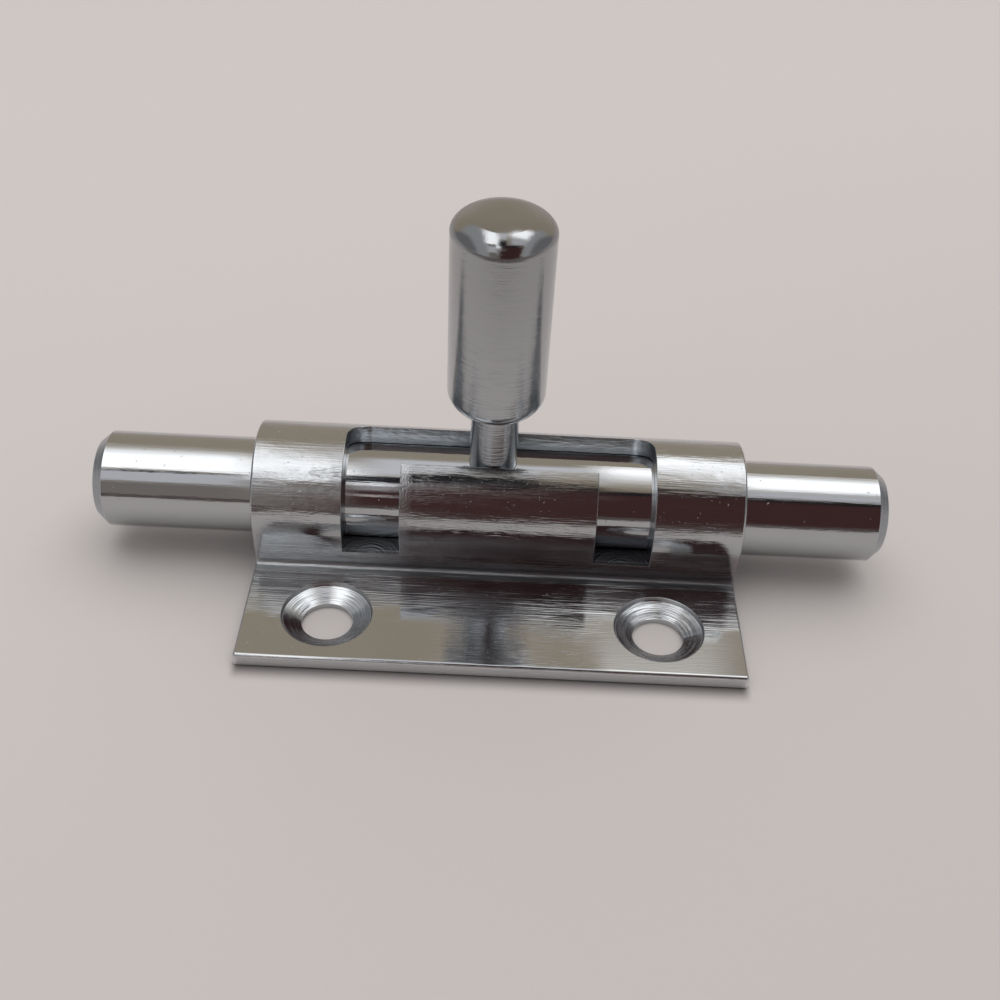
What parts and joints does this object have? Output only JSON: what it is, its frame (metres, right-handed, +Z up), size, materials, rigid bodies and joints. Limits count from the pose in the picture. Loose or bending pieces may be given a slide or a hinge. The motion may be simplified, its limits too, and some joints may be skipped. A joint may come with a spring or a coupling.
{
  "type": "sliding bolt",
  "caption": "Chrome sliding bolt: a round bar in a flanged barrel housing, moved by an upright knob through a top slot with a locking notch at each end.",
  "frame": {"origin": "midway between the two screw holes, on the underside of the flange, which is the face that lies on the door", "axes": "+X along the bar, +Z straight up out of the mounting surface, so the barrel lies towards +Y and the flange's free edge faces -Y"},
  "size_m": [0.0982, 0.0316, 0.0495],
  "materials": {
    "housing_chrome": "bright chrome over an extruded and milled surface, with fine lines along the section",
    "bar_chrome": "mirror chrome on a ground round bar",
    "handle_chrome": "satin chrome with fine turned rings"
  },
  "bodies": {
    "housing": {"housing": "housing_chrome"},
    "bolt": {"bolt_bar": "bar_chrome", "handle": "handle_chrome"}
  },
  "joints": [
    {"name": "bolt_slide", "type": "slide", "parent": "housing", "child": "bolt", "axis": [1, 0, 0], "range_m": [-0.0151, 0.0169]}
  ]
}
